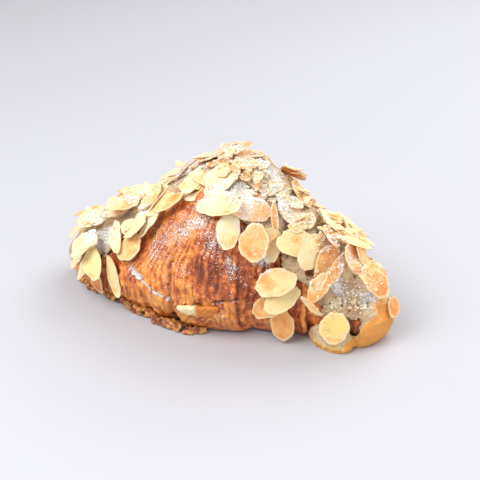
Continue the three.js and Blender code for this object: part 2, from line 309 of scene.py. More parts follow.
def colours(tree, value, *stops):
    # colour ramp through (position, colour) stops
    node = addNode(tree, "ShaderNodeValToRGB")
    tree.links.new(value, node.inputs[0])
    stopList = node.color_ramp.elements
    while len(stopList) < len(stops):
        stopList.new(0.5)
    for stop, (position, colour) in zip(stopList, stops):
        stop.position = position
        stop.color = (*colour, 1)
    return node.outputs[0]


def mix(tree, amount, a, b):
    node = addNode(tree, "ShaderNodeMix", {"data_type": "RGBA"})
    for socket, value in ((node.inputs[0], amount), (node.inputs[6], a), (node.inputs[7], b)):
        if isinstance(value, (int, float)):
            socket.default_value = value
        elif isinstance(value, tuple):
            socket.default_value = (*value, 1)
        else:
            tree.links.new(value, socket)
    return node.outputs[2]


def addBump(tree, shader, height, distance, strength=1.0):
    bump = addNode(tree, "ShaderNodeBump", {"Strength": strength, "Distance": distance}, Height=height)
    tree.links.new(bump.outputs[0], shader.inputs["Normal"])


def objectPlace(tree):
    return addNode(tree, "ShaderNodeTexCoord").outputs["Object"]


# ---- where the icing sugar fell ----

icing = {
    # x, y, z and reach in mm, and how much: 1 is fully white
    "drifts": [
        # on the crust
        (3, -22, 73, 7, 0.2), (2, -27, 68, 7, 0.36), (-4, -30, 62, 7, 0.42), (-10, -33, 55, 8, 0.36),
        (-17, -33, 48, 8, 0.36), (-24, -33, 39, 7, 0.34), (5, -33, 57, 7, 0.30),
        (8, -36, 50, 6, 0.22), (17, -37, 42, 4.5, 0.85), (30, -30, 43, 5, 0.85), (-5, -41, 38, 3, 0.7),
        (-14, -40, 31, 2.5, 0.7), (-35, -32, 28, 4, 0.65), (19, -38, 25, 2, 0.8), (12, -38, 19, 2.5, 0.6),
        (-2, -41, 30, 12, 0.14), (22, -36, 32, 8, 0.16),
        # over the crown
        (19, -24, 71, 9, 0.6), (9, -20, 74, 8, 0.55), (35, -14, 66, 9, 0.6), (20, 4, 74, 10, 0.5),
        (6, -2, 84, 9, 0.55), (26, -2, 72, 9, 0.5), (44, -11, 56, 8, 0.4), (24, -27, 57, 6, 0.5),
        (10, -36, 56, 5, 0.4),
        # down the right arm
        (59, -17, 54, 6, 0.7), (68, -20, 44, 7, 0.6), (75, -16, 28, 7, 0.42), (81, -11, 25, 7, 0.45),
        (64, -22, 31, 7, 0.6),
        # along the left arm
        (-55, -13, 44, 5, 0.4), (-57, -17, 35, 6.5, 2.2), (-44, -7, 50, 7, 0.75), (-22, 5, 64, 8, 0.5),
        (-10, 0, 76, 8, 0.6), (-33, -18, 52, 5, 0.8), (-26, -26, 50, 4, 0.7),
        # on the back
        (12, 22, 62, 14, 0.6), (-28, 18, 48, 14, 0.45), (50, 14, 42, 12, 0.5),
    ],
    "even": 0.14,
    "most": 1.05,
    "facing": (-0.15, 0.4),   # how far up a surface faces for none of it to stay, and for all
    "patchSize": 6,           # mm
    "patchiness": 0.6,
    # the crease over the left lobe, where it gathered: x, z at each end, and its reach
    "crease": ((-31, 25.0), (-13, 19.5), 2.0),
    "creaseAngles": (55, 70, 130, 150),   # degrees down the front: starts, full, fades, ends
    # how it looks
    "grainSize": 0.62 * mm,
    "clumpSize": 2.2 * mm,
    "shares": (0.72, 0.28, 0.36),   # of grains, clumps and the amount that fell
    "cover": (0.695, 0.745),   # no white under the first, all white over the second
    "white": (0.94, 0.92, 0.92),
    "roughness": 0.85,
}


def creaseHeight(x):
    (x0, z0), (x1, z1), _ = icing["crease"]
    return z0 + (x - x0) / (x1 - x0) * (z1 - z0)


def inCrease(x, angle):
    # 1 along the crease, 0 away from it
    (x0, _), (x1, _), _ = icing["crease"]
    starts, full, fades, ends = icing["creaseAngles"]
    along = ramp(x, x0 - 6, x0) * (1 - ramp(x, x1 - 1, x1 + 2))
    return along * ramp(-angle, starts, full) * (1 - ramp(-angle, fades, ends))


def sugarOn(points, normals):
    # how much sugar lies on each point
    p = fromHome(points)
    amount = np.full(len(p), icing["even"])
    for *spot, strength in icing["drifts"]:
        amount += strength * np.exp(-awayFrom(p, *spot))
    amount *= ramp(normals[:, 2], *icing["facing"])
    patches = 1 + icing["patchiness"] * noiseOver(p, icing["patchSize"], 21)
    return np.clip(amount * patches, 0, icing["most"])


def sugared(tree, colour, shader, roughness):
    # icing sugar as fine grains over a colour, thicker where more of it fell
    place = objectPlace(tree)
    grains = noiseNode(tree, place, icing["grainSize"], 2, 0.7)
    clumps = noiseNode(tree, place, icing["clumpSize"], 3, 0.6)
    cover = zip((grains, clumps, readValue(tree, "sugarAt")), icing["shares"])
    white = fade(tree, addUp(tree, *cover), *icing["cover"])
    tree.links.new(mix(tree, white, colour, icing["white"]), shader.inputs["Base Color"])
    rough = addNode(tree, "ShaderNodeMix", {"data_type": "FLOAT"})
    tree.links.new(white, rough.inputs[0])
    tree.links.new(roughness, rough.inputs[2])
    rough.inputs[3].default_value = icing["roughness"]
    tree.links.new(rough.outputs[0], shader.inputs["Roughness"])
    return white


# ---- pastry: the rolled, glazed crust ----

crust = {
    "voxel": 0.72 * mm,
    "wrapCentre": 4.56,
    "leftEdges": [-60, 6.5, 22, 38, 52, 66, 110],   # mm out from the middle where each wrap ends
    "rightEdges": [-60, 12.5, 28, 43, 58, 110],
    "leftSlant": 10,
    "rightSlant": 3,
    "slantAngle": 65,
    "lipHeight": 0.6,   # at the end of each wrap
    "layerGap": 3.4,    # mm between the layers' edges
    "layerHeight": 1.05,
    "layerFall": 0.72,        # where each layer starts to fall to the next, as a share of its width
    "layerShift": 0.5,        # how much the gaps between layers vary
    "wander": [(1.3, 8, 1), (0.5, 3, 2)],   # how far layers stray in mm, over what size, and a seed
    "fineHeight": 0.22,
    "broadHeight": 0.7,
    "blisterHeight": 0.75,
    "settle": 0.75,   # mm that all of it sits lower, to leave room for blisters
    "creaseDepth": 1.3,
    "creaseSwell": 0.9,
    "mostSugar": 0.85,
    # cracks in the glaze: x, z at each end, depth and reach in mm
    "cracks": [
        ((9, 23.2), (20, 25.4), 1.2, 0.75),
        ((20, 25.0), (33, 24.4), 0.5, 0.9),
        ((-12.5, 44), (-13, 10), 0.5, 0.7),
    ],
    # darker and lighter places on the front: x, z, reach across and up in mm, and how much
    "tints": [
        # of these, the thin light line at x -12.5 is a painted highlight on a wrap's lip, and the dark
        # patch at x -8 beside it is painted shade
        (11, 42, 13, 19, -0.29), (-8, 26, 4, 12, -0.14), (42, 30, 14, 26, -0.15), (-45, 24, 14, 16, -0.12),
        (-12.5, 30, 1.2, 16, 0.14), (-9, 13, 7, 5, 0.12), (18, 12, 14, 7, -0.05), (-24, 26, 9, 14, 0.07),
    ],
    "holes": [(-13, 7, 2.0), (-9, 4, 1.4), (2, 20.5, 1.0)],   # burnt bubbles: x, z and reach
    "holeDepth": 1.2,
    "burnt": (0.11, 0.022, 0.004),
    "dark": (0.19, 0.034, 0.004),
    "brown": (0.47, 0.092, 0.012),
    "orange": (0.79, 0.225, 0.034),
    "gold": (0.94, 0.42, 0.085),
    "darkness": 0.72,   # more makes all of it browner
}


def upWrap(x, angle):
    # how far up its wrap a point is, 1 at the wrap's lip
    left = x < crust["wrapCentre"]
    slant = np.where(left, crust["leftSlant"], crust["rightSlant"])
    out = np.abs(x - crust["wrapCentre"]) - slant * np.clip(-angle / crust["slantAngle"], -0.6, 1)
    climb = np.zeros_like(out)
    for side, edges in ((left, crust["leftEdges"]), (~left, crust["rightEdges"])):
        for inner, outer in zip(edges, edges[1:]):
            here = side & (out >= inner) & (out < outer)
            climb[here] = (out[here] - inner) / (outer - inner)
    return climb


def layerCoord(x, angle, z):
    # the layers' edges fan out from near the crown down over the left front
    spread = 0.35 + 0.65 * ramp(np.abs(angle), 25, 82)
    fanned = np.where(x < 10, 10 + (x - 10) / spread, x)
    swept = 0.9 * np.clip(19 - z, 0, 19) * ramp(x, -16, -10) * (1 - ramp(x, 6, 11)) * (angle < 0)
    return fanned + swept


def flakyLayers(p, angle):
    # each point's place across the layers, and the layers' height in mm
    x, _, z = p.T
    layer = layerCoord(x, angle, z)
    for amount, size, seed in crust["wander"]:
        layer = layer + amount * noiseOver(p, size, seed)
    across = np.stack([layer, angle / 6, 0 * x], 1)
    turns = layer / crust["layerGap"] + crust["layerShift"] * noiseOver(across, 7, 1)
    within = turns - np.floor(turns)
    edge = within - 0.5 - ramp(within, crust["layerFall"], 1.0) * within
    ownPlace = np.stack([np.floor(turns) * 3.1, angle / 18, 0 * x], 1)
    strength = 0.35 + 1.1 * np.clip(noiseOver(ownPlace, 1, 2) + 0.35, 0, 1)
    fine = noiseOver(across * [1, 0.6, 1], 1.2, 3) + 0.6 * noiseOver(p, 0.95, 4)
    return layer, crust["layerHeight"] * edge * strength + crust["fineHeight"] * fine


def crackAt(places, angle, ends, reach):
    # 1 along a crack between two places on the front, 0 away from it
    (x0, z0), (x1, z1) = ends
    along = np.array([x1 - x0, z1 - z0])
    span = np.hypot(*along)
    place = places[:, [0, 2]] - [x0, z0]
    t = place @ along / span**2
    off = (place[:, 0] * along[1] - place[:, 1] * along[0]) / span + 0.8 * noiseOver(places, 4, 23)
    return bell(off, reach) * ramp(t, -0.1, 0.1) * (1 - ramp(t, 0.9, 1.1)) * (angle < -40)


def cracksAndHoles(p, angle):
    # mm that each point lies lower, and how burnt it is
    x, _, z = p.T
    sunk, burnt = np.zeros(len(p)), np.zeros(len(p))
    for *ends, depth, reach in crust["cracks"]:
        crack = crackAt(p, angle, ends, reach)
        sunk += depth * crack
        burnt = np.maximum(burnt, crack * min(depth, 1))
    for hx, hz, reach in crust["holes"]:
        hole = np.exp(-((x - hx) ** 2 + (z - hz) ** 2) / reach**2) * (angle < -60)
        sunk += crust["holeDepth"] * hole
        burnt = np.maximum(burnt, ramp(hole, 0.2, 0.6))
    return sunk, burnt


def buildPastry():
    piece = fineCopy("pastry", "crust", crust["voxel"], 3)
    points, normals = pointsOf(piece), normalsOf(piece)
    p = fromHome(points)
    angle = aroundLoaf(p)
    x, _, z = p.T
    climb = upWrap(x, angle)
    layer, relief = flakyLayers(p, angle)
    broad = noiseOver(p, 12, 5)
    blister = ramp(noiseOver(p, 4.2, 6), 0.15, 0.5)
    lip = ramp(climb, 0.7, 0.97) - ramp(climb, 0.975, 1.0) - 0.7 * (1 - ramp(climb, 0, 0.12))
    crease = inCrease(x, angle) * (z > 8)
    fromCrease = z - creaseHeight(x)
    swell = crust["creaseSwell"] * bell(fromCrease - 3, 2.6)
    fold = crease * (swell - crust["creaseDepth"] * bell(fromCrease, 1.3))
    sunk, burnt = cracksAndHoles(p, angle)
    exposed = ramp(z, 1, 6) * ramp(halfLength - 3 - np.abs(x), 0, 14)   # less at the base and the tips
    bumps = relief + crust["lipHeight"] * lip + crust["broadHeight"] * broad
    bumps += crust["blisterHeight"] * blister
    rise = exposed * (bumps - crust["settle"]) + fold - sunk
    setPoints(piece, points + normals * (rise * mm)[:, None])
    # raised is a painted highlight on the layers' ridges and lips, and painted shade in the valleys
    # between them
    raised = np.clip(0.5 + 0.7 * (relief + 0.4 * lip + 0.3 * blister), 0, 1)
    # tints, with the painted highlight and painted shade at the left lobe's lip
    tinted = sum(
        amount * bell(x - tx, wide) * bell(z - tz, high)
        for tx, tz, wide, high, amount in crust["tints"]
    )
    fallen = sugarOn(points, normals) * (0.85 + 0.6 * np.clip(relief, -0.6, 0.6))
    gathered = crease * 1.4 * bell(fromCrease - 0.2, icing["crease"][2])
    gathered *= ramp(noiseOver(p, 2.6, 22), -0.7, 0.15)
    addValues(
        piece,
        layerPlace=np.stack([layer / 10, angle / 60, climb], 1),
        raisedAt=raised * exposed + 0.5 * (1 - exposed),
        crackedAt=burnt,
        bottomAt=np.maximum(1 - ramp(z, 0.3, 4.5 + 2 * broad), 0.8 * ramp(x, 58, 66)),
        tintAt=tinted * ramp(-angle, 10, 35),
        sugarAt=np.minimum(fallen, crust["mostSugar"]) + gathered,
    )
    return piece


def crustMaterial():
    material, tree, shader = newMaterial("glazed crust", 0.42, Coat_Weight=0.4, Coat_Roughness=0.2)
    layers = readValue(tree, "layerPlace", "Vector")
    fine = noiseNode(tree, layers, 0.075, 4, 0.6, (1, 0.28, 1))
    streaks = noiseNode(tree, layers, 0.24, 3, 0.6, (1, 0.35, 1))
    place = objectPlace(tree)
    patches = noiseNode(tree, place, 6.8 * mm, 4, 0.66)
    flakes = noiseNode(tree, place, 2.6 * mm, 3, 0.6)
    pores = noiseNode(tree, place, 1.1 * mm, 3, 0.6)
    # raisedAt paints a highlight on the ridges and lips and shade in the valleys between the layers
    blend = addUp(
        tree, (fine, 0.22), (streaks, 0.42), (patches, 0.90), (flakes, 0.55),
        (readValue(tree, "raisedAt"), 0.44), (readValue(tree, "tintAt"), 1),
    )
    glazed = colours(
        tree, mathNode(tree, "SUBTRACT", blend, crust["darkness"]),
        (0.22, crust["dark"]), (0.40, crust["brown"]), (0.55, crust["orange"]), (0.74, crust["gold"]),
    )
    bottom = times(tree, readValue(tree, "bottomAt"), fade(tree, patches, 0.32, 0.56))
    burnt = mathNode(tree, "MAXIMUM", bottom, readValue(tree, "crackedAt"))
    colour = mix(tree, burnt, glazed, crust["burnt"])
    white = sugared(tree, colour, shader, between(tree, flakes, 0.26, 0.52))
    height = addUp(tree, (fine, 0.6), (flakes, 0.7), (pores, 0.3), (white, 0.3))
    addBump(tree, shader, height, 1.2 * mm, 0.9)
    return material


pastry = buildPastry()
finish(pastry, crustMaterial(), "crust", "pastry")
print("croissant: crust", len(pastry.data.polygons), "faces")


# ---- almond filling in the split ----

filling = {
    "voxel": 0.4 * mm,
    "lumpHeight": 0.5,
    "swell": 0.7,   # mm that it fills out into its gap
    "baked": (-1, 3.5),   # x between which it turns brown, where it runs under the glaze
    "paleColour": (0.92, 0.78, 0.46),
    "deepColour": (0.82, 0.48, 0.12),
    "bakedColour": (0.66, 0.22, 0.03),
}


def buildFilling():
    piece = fineCopy("almond_filling", "filling_in_split", filling["voxel"], 3)
    points, normals = pointsOf(piece), normalsOf(piece)
    lumps = noiseOver(points / mm, 3.2, 5) + 0.6 * noiseOver(points / mm, 1.3, 6)
    rise = filling["lumpHeight"] * lumps + filling["swell"]
    setPoints(piece, points + normals * (mm * rise)[:, None])
    addValues(piece, bakedAt=ramp(fromHome(points)[:, 0], *filling["baked"]))
    return piece


def fillingMaterial():
    material, tree, shader = softMaterial("almond filling", 0.5, 0.15, 2 * mm)
    place = objectPlace(tree)
    lumps = noiseNode(tree, place, 3 * mm, 5, 0.6)
    strands = noiseNode(tree, place, 1.5 * mm, 4, 0.6, (1, 1, 0.35))
    value = addUp(tree, (lumps, 0.5), (strands, 0.5))
    colour = colours(tree, value, (0.38, filling["deepColour"]), (0.50, filling["paleColour"]))
    baked = fade(tree, addUp(tree, (readValue(tree, "bakedAt"), 1), (value, 1)), 0.6, 1.2)
    tree.links.new(mix(tree, baked, colour, filling["bakedColour"]), shader.inputs["Base Color"])
    addBump(tree, shader, value, 1.2 * mm)
    return material


fillingPiece = buildFilling()
finish(fillingPiece, fillingMaterial(), "filling", "almond_filling")
print("croissant: filling")


# ---- almond cream baked over the top ----

cream = {
    "voxel": 0.8 * mm,
    "lumpHeight": 0.9,
    "sunk": -0.45,   # below 0 it rises round the slices
    "lumpSize": 8,
    "grainHeight": 0.55,
    "grainSize": 1.7,
    "pitSize": 3.2,
    "pitDepth": 0.9,
    "thinDepth": 1.1,
    "knobHeight": 1.2,   # along the fried edge of the feet
    # where it is thin enough to show crust: x, y, z, reach in mm, and 1 for bare, less for a grey film of
    # painted shade
    "thinSpots": [
        (-81, -14, 15, 6, 1.3), (-74, -22, 11, 5, 1.2), (62, -22, 36, 4, 0.6), (50, -22, 38, 3.2, 1.2),
        (51, -25, 29, 2.6, 1.1), (66, -20, 31, 5, 0.6), (78, -13, 25, 5, 0.65), (-54, -12, 40, 4, 0.7),
        (-40, -29, 28, 5, 0.8), (-48, -26, 26, 4, 0.5), (54, -27, 25, 5, 0.55), (40, -24, 52, 4, 0.4),
        (71, -20, 22, 4, 0.5),
    ],
    # toasted places: x, y, z, reach in mm, and how much
    "toasted": [
        (83, -12, 20, 4.5, 1.4), (80, -4, 30, 4, 0.9), (30, 2, 72, 4, 0.6), (-2, -6, 80, 4, 0.7),
        (50, -14, 52, 3, 0.5),
    ],
    "pale": (0.87, 0.70, 0.43),
    "beige": (0.69, 0.46, 0.27),
    # the mauve-grey of painted shade on the cream
    "mauve": (0.50, 0.28, 0.20),
    "bare": (0.34, 0.10, 0.025),
    "speck": (0.13, 0.07, 0.035),
    "golden": (0.94, 0.59, 0.20),
    "fried": (0.91, 0.365, 0.055),
}


def facingOut(p, normals):
    # how far each point's surface faces away from the loaf's own middle line
    x, y, z = p.T
    middle, _, top = loafAt(x)
    outward = np.stack([0 * x, y - middle, z - top * loaf["waistShare"]], 1)
    outward /= np.linalg.norm(outward, axis=1)[:, None] + 1e-9
    return (normals * outward).sum(1)


def tipLipAt(p, normals):
    # 1 on the smooth fried face at the right tip, which reaches higher further out
    x, _, z = p.T
    facing = normals[:, 0] * 0.85 - normals[:, 1] * 0.5
    below = 1 - ramp(z - 5 - 12 * ramp(x, 69, 82), -1, 1.5)
    return ramp(x, 68, 72) * ramp(facing, 0.15, 0.5) * below


def friedAt(p, tipLip, knobs, lumps):
    # how browned each point is: the low edges, the tip's face and the toasted places
    x, _, z = p.T
    low = 1 - ramp(z, 1.5 + 1.5 * knobs, 6.5 + 3 * knobs)
    face = tipLip * (1.05 + 0.25 * (1 - ramp(z, 2, 12)))
    fried = np.where(x > 44, np.clip(np.maximum(0.85 * low, face), 0, 1.3), low)
    for *spot, strength in cream["toasted"]:
        fried = np.maximum(fried, strength * np.exp(-awayFrom(p, *spot) * (1 + 0.5 * lumps)))
    return fried


def buildCream():
    piece = fineCopy("almond_cream", "baked_cream", cream["voxel"], 5)
    points, normals = pointsOf(piece), normalsOf(piece)
    p = fromHome(points)
    x, _, z = p.T
    lumps = noiseOver(p, cream["lumpSize"], 7) + 0.5 * noiseOver(p, 3.4, 8)
    grains = noiseOver(p, cream["grainSize"], 9)
    knobs = noiseOver(p, 3.4, 11) + 0.5 * noiseOver(p, 1.8, 12)
    pit = ramp(noiseOver(p, cream["pitSize"], 10), 0.50, 0.60)
    thin = np.zeros(len(p))
    for *spot, strength in cream["thinSpots"]:
        thin = np.maximum(thin, strength * np.exp(-awayFrom(p, *spot) * (1 + 0.5 * lumps)))
    tipLip = tipLipAt(p, normals)
    footEdge = (1 - ramp(z, 4, 8)) * ramp(x, 46, 50) * (1 - tipLip)
    rough = ramp(facingOut(p, normals), -0.1, 0.5) * ramp(z, 0.5, 4) * (1 - 0.75 * tipLip)
    raised = cream["lumpHeight"] * (lumps - cream["sunk"]) + cream["grainHeight"] * grains
    lowered = cream["pitDepth"] * pit + cream["thinDepth"] * np.clip(thin, 0, 1)
    rise = rough * (raised - lowered) + footEdge * (cream["knobHeight"] * knobs - 0.4) * ramp(z, 0.1, 0.9)
    setPoints(piece, points + normals * (rise * mm)[:, None])
    fallen = sugarOn(points, normals) * 0.85 * ramp(z, 6, 16)
    addValues(piece, pitAt=pit, thinAt=thin, friedAt=friedAt(p, tipLip, knobs, lumps), sugarAt=fallen)
    return piece


def creamMaterial():
    material, tree, shader = softMaterial("baked almond cream", 0.55, 0.12, 2.5 * mm)
    place = objectPlace(tree)
    grain = noiseNode(tree, place, 1.1 * mm, 3, 0.75)
    lumps = noiseNode(tree, place, 8 * mm, 4, 0.6)
    clouds = noiseNode(tree, place, 15 * mm, 3, 0.5)
    colour = colours(
        tree, addUp(tree, (lumps, 0.5), (grain, 0.5)),
        (0.44, cream["beige"]), (0.53, cream["pale"]),
    )
    # painted shade as a mauve-grey film in cloudy patches and where it is thin, and crust where it is bare
    thin = readValue(tree, "thinAt")
    paintedShadeFilm = times(tree, fade(tree, clouds, 0.50, 0.66), fade(tree, grain, 0.40, 0.58))
    paintedShadeFilm = addUp(tree, (paintedShadeFilm, 0.75), (thin, fade(tree, grain, 0.30, 0.62)))
    colour = mix(tree, paintedShadeFilm, colour, cream["mauve"])
    bare = fade(tree, addUp(tree, (thin, 1), (grain, 0.4)), 0.75, 1.05)
    colour = mix(tree, bare, colour, cream["bare"])
    # specks of almond skin, and painted shade in the pits
    spots = addNode(tree, "ShaderNodeTexVoronoi", {"Scale": 380.0}, Vector=place).outputs["Distance"]
    specks = times(tree, fade(tree, spots, 0.20, 0.10), fade(tree, lumps, 0.46, 0.54))
    pitShade = times(tree, readValue(tree, "pitAt"), 0.85)
    colour = mix(tree, mathNode(tree, "MAXIMUM", specks, pitShade), colour, cream["speck"])
    # browned edges
    fried = addUp(tree, (readValue(tree, "friedAt"), 1), (lumps, 0.6))
    colour = mix(tree, fade(tree, fried, 0.45, 0.85), colour, cream["golden"])
    orange = times(tree, fade(tree, fried, 0.85, 1.3), 0.9)
    colour = mix(tree, orange, colour, cream["fried"])
    white = sugared(tree, colour, shader, between(tree, grain, 0.40, 0.70))
    height = addUp(tree, (grain, 0.8), (lumps, 0.4), (specks, -0.6), (white, 0.25))
    addBump(tree, shader, height, 1.8 * mm)
    return material


creamPiece = buildCream()
finish(creamPiece, creamMaterial(), "almond_cream", "almond_cream")
print("croissant: cream", len(creamPiece.data.polygons), "faces")


# ---- caramel that ran out under the front ----

caramel = {
    "voxel": 0.4 * mm,
    "bubbleHeight": 0.7,
    "swell": 0.9,   # mm, so that it meets the crust
    "holeDepth": 1.5,
    "holeSize": 2.8,
    "dark": (0.19, 0.045, 0.009),
    "amber": (0.55, 0.18, 0.03),
    "gold": (0.80, 0.43, 0.11),
    "burnt": (0.025, 0.008, 0.003),
}


def buildCaramel():
    piece = fineCopy("caramel_rim", "caramel_lace", caramel["voxel"], 4)
    points, normals = pointsOf(piece), normalsOf(piece)
    bubbles = noiseOver(points / mm, 2.4, 12) + 0.8 * noiseOver(points / mm, 1.1, 13)
    holes = ramp(noiseOver(points / mm, caramel["holeSize"], 14), 0.22, 0.42)
    aboveFloor = ramp(points[:, 2] / mm, 0.1, 1.0)
    bumps = caramel["bubbleHeight"] * bubbles + caramel["swell"] - caramel["holeDepth"] * holes
    setPoints(piece, points + normals * (aboveFloor * bumps * mm)[:, None])
    addValues(piece, holeAt=holes, raisedAt=np.clip(0.5 + 0.6 * bubbles, 0, 1))
    return piece


def caramelMaterial():
    material, tree, shader = newMaterial("dark caramel", 0.28, Coat_Weight=0.5, Coat_Roughness=0.15)
    place = objectPlace(tree)
    mottle = noiseNode(tree, place, 2.2 * mm, 5, 0.65)
    colour = colours(
        tree, addUp(tree, (mottle, 0.65), (readValue(tree, "raisedAt"), 0.35)),
        (0.40, caramel["dark"]), (0.52, caramel["amber"]), (0.66, caramel["gold"]),
    )
    colour = mix(tree, readValue(tree, "holeAt"), colour, caramel["burnt"])
    tree.links.new(colour, shader.inputs["Base Color"])
    addBump(tree, shader, noiseNode(tree, place, 0.8 * mm, 3), 0.8 * mm)
    return material


caramelPiece = buildCaramel()
finish(caramelPiece, caramelMaterial(), "caramel", "caramel_rim")
print("croissant: caramel")


# ---- sliced almonds ----

almond = {
    "corners": 32,
    "rings": (0.03, 0.05, 0.10, 0.14),   # width of each ring of faces, from the rim inwards
    "taper": 0.24,   # how much narrower the pointed end is
    "thickness": 0.85 * mm,
    "thinRim": 0.45,   # share of the thickness lost at the rim
    "curl": 1.1,   # mm of bend over a slice, up or down
    "curlLength": 18 * mm,   # slice length that bends by just that much
    "wave": 0.8,
    "waveSize": 6,
    "fray": 0.09,   # how far the rim's outline strays, as a share of the slice
    "seed": 41,
    "tones": {"pale": 0.10, "golden": 0.40, "toasted": 1.0},   # how far each is toasted
    "toneSpread": (-0.05, 0.42),
    # the big slice in the cream's foot: x over, y and z under these, its toasting and soaking
    "footSlice": (50, -20, 18, -0.05, 1.0),
    # colours from barely baked to browned
    "stops": [
        (0.0, (0.90, 0.81, 0.57)), (0.14, (0.91, 0.74, 0.44)), (0.32, (0.92, 0.54, 0.21)),
        (0.56, (0.81, 0.32, 0.065)), (0.9, (0.58, 0.18, 0.03)),
    ],
    "soaked": (0.84, 0.64, 0.22),
    "rim": (0.90, 0.74, 0.46),
    "skin": (0.62, 0.30, 0.09),
}


def modelSlice(name):
    # unit slice: 1 long, 1 wide and 1 thick, pointed at -X, with rings of faces towards its middle
    bpy.ops.mesh.primitive_circle_add(vertices=almond["corners"], radius=0.5, fill_type="NGON")
    piece = bpy.context.object
    piece.name = name
    editAll()
    for ring in almond["rings"]:
        bpy.ops.mesh.inset(thickness=ring)
    bpy.ops.mesh.poke()
    bpy.ops.object.mode_set(mode="OBJECT")
    points = pointsOf(piece)
    inwards = 1 - 2 * np.linalg.norm(points, axis=1)   # 0 at the rim, 1 in the middle
    points[:, 1] *= 1 - almond["taper"] * ramp(-points[:, 0], 0.0, 0.5)
    addValues(piece, inFromRim=inwards, alongSlice=points[:, 0] + 0.5)
    piece.data.vertices.foreach_set("co", points.ravel())
    applyModifier(piece, "SOLIDIFY", thickness=1.0, offset=1.0, use_even_offset=False)
    return piece


sliceMaster = modelSlice("slice_pattern")


def modelBroken(*cuts):
    # the same slice snapped off along one or two breaks
    piece = addObject("broken_pattern", sliceMaster.data.copy())
    pick(piece)
    bpy.ops.object.mode_set(mode="EDIT")
    for place, turn in cuts:
        bpy.ops.mesh.select_all(action="SELECT")
        direction = (math.cos(math.radians(turn)), math.sin(math.radians(turn)), 0)
        bpy.ops.mesh.bisect(plane_co=(*place, 0), plane_no=direction, use_fill=True, clear_outer=True)
    bpy.ops.object.mode_set(mode="OBJECT")
    return piece


brokenMasters = [
    modelBroken(((0.10, 0), 24), ((0.16, 0), -32)),
    modelBroken(((-0.06, 0), 158), ((-0.12, 0), 205)),
    modelBroken(((0, 0.12), 75)),
]


def placeSlice(master, name, axes, centre, length, width, toast, draw, curl=1.0, soaked=None):
    # a copy of a pattern, bent and worn a little in its own way, put down at centre
    piece = addObject(name, master.data.copy())
    p = pointsOf(piece)
    seed = draw.uniform(0, 90)
    turn = np.arctan2(p[:, 1], p[:, 0])
    ragged = 1 + 0.05 * np.sin(2 * turn + seed) + 0.045 * np.sin(3 * turn + 2 * seed)
    ragged += 0.02 * np.sin(7 * turn + seed)
    u, v = p[:, 0] * ragged, p[:, 1] * ragged
    bow = draw.uniform(-0.8, 1) * almond["curl"] * curl
    cup = draw.uniform(-0.5, 1) * almond["curl"] * 0.5 * curl
    flat = np.stack([u * length / mm, v * width / mm, 0 * u], 1)
    wave = noiseOver(flat, almond["waveSize"], seed) * almond["wave"]
    edgeOut = ramp(2 * np.hypot(p[:, 0], p[:, 1] / 0.85), 0.85, 1.0)
    straying = noiseOver(flat, 1.7, seed + 3) + 0.6 * noiseOver(flat, 4, seed + 5)
    frayed = 1 + almond["fray"] * edgeOut * straying
    bend = bow * (4 * u * u - 0.5) * length / almond["curlLength"] + cup * (4 * v * v - 0.5) + wave
    w = mm * bend + (p[:, 2] - 0.5) * (1 - almond["thinRim"] * edgeOut) * almond["thickness"]
    ownAxes = np.array([list(axis) for axis in axes])
    world = np.stack([u * frayed * length, v * frayed * width, w], 1) @ ownAxes + np.array(centre)
    setPoints(piece, world)
    toast += draw.uniform(-0.12, 0.12)
    soaked = draw.random() ** 2 * 0.7 if soaked is None else soaked
    caught = 0.45 + 0.5 * draw.random()   # how well sugar stayed on this one
    addValues(
        piece,
        toast=np.full(len(p), toast),
        soakedAt=np.full(len(p), soaked),
        sliceAt=np.stack([u * length * 100 + seed, v * width * 100, 0 * u + seed], 1),
        sugarAt=0.12 + 0.85 * sugarOn(world, normalsOf(piece)) * caught,
    )
    pick(piece)
    bpy.ops.object.shade_smooth_by_angle(angle=math.radians(50))
    return piece


def sliceFrame(node):
    # centre, axes and size of a slice of the frame, from its own corners
    points = np.unique(np.round(pointsOf(node), 7), axis=0)
    centre = points.mean(0)
    outward, _, lengthways = np.linalg.eigh(np.cov((points - centre).T))[1].T
    if facingOut(fromHome(centre)[None], outward[None])[0] < 0:
        outward = -outward
    reach = (points - centre) @ lengthways
    if abs(reach.min()) < abs(reach.max()):   # the pointed end lies further from the middle
        lengthways = -lengthways
    across = np.cross(outward, lengthways)
    reach = (points - centre) @ lengthways
    side = (points - centre) @ across
    middleOf = centre + lengthways * (reach.max() + reach.min()) / 2
    return (lengthways, across, outward), middleOf, np.ptp(reach), np.ptp(side)


def almondMaterial(name):
    material, tree, shader = softMaterial(name, 0.42, 0.18, 1.8 * mm)
    place = readValue(tree, "sliceAt", "Vector")
    rim = readValue(tree, "inFromRim")
    mottle = noiseNode(tree, place, 0.42, 4, 0.6)
    broad = noiseNode(tree, place, 1.2, 2, 0.5)
    fibres = noiseNode(tree, place, 0.10, 3, 0.6, (0.25, 1, 1))
    # toasted more towards one end, and in blotches
    far = addUp(tree, (readValue(tree, "alongSlice"), 1), (broad, 0.8))
    end = times(tree, fade(tree, far, 0.75, 1.25), fade(tree, broad, 0.42, 0.64))
    uneven = mathNode(tree, "SUBTRACT", mottle, 0.5)
    browned = addUp(tree, (readValue(tree, "toast"), 0.8), (end, 0.5), (uneven, 1))
    browned = times(tree, browned, 0.62)
    colour = colours(tree, browned, *almond["stops"])
    soaked = times(tree, readValue(tree, "soakedAt"), fade(tree, browned, 0.34, 0.08))
    colour = mix(tree, soaked, colour, almond["soaked"])
    # a pale rim with a broken line of skin round it
    paleRim = times(tree, fade(tree, rim, 0.20, 0.06), 0.7)
    colour = mix(tree, paleRim, colour, almond["rim"])
    line = times(tree, fade(tree, rim, 0.06, 0.01), fade(tree, mottle, 0.40, 0.60))
    colour = mix(tree, times(tree, line, 0.4), colour, almond["skin"])
    white = sugared(tree, colour, shader, between(tree, mottle, 0.32, 0.50))
    addBump(tree, shader, addUp(tree, (fibres, 1), (mottle, 1), (white, 0.6)), 0.5 * mm, 0.6)
    return material


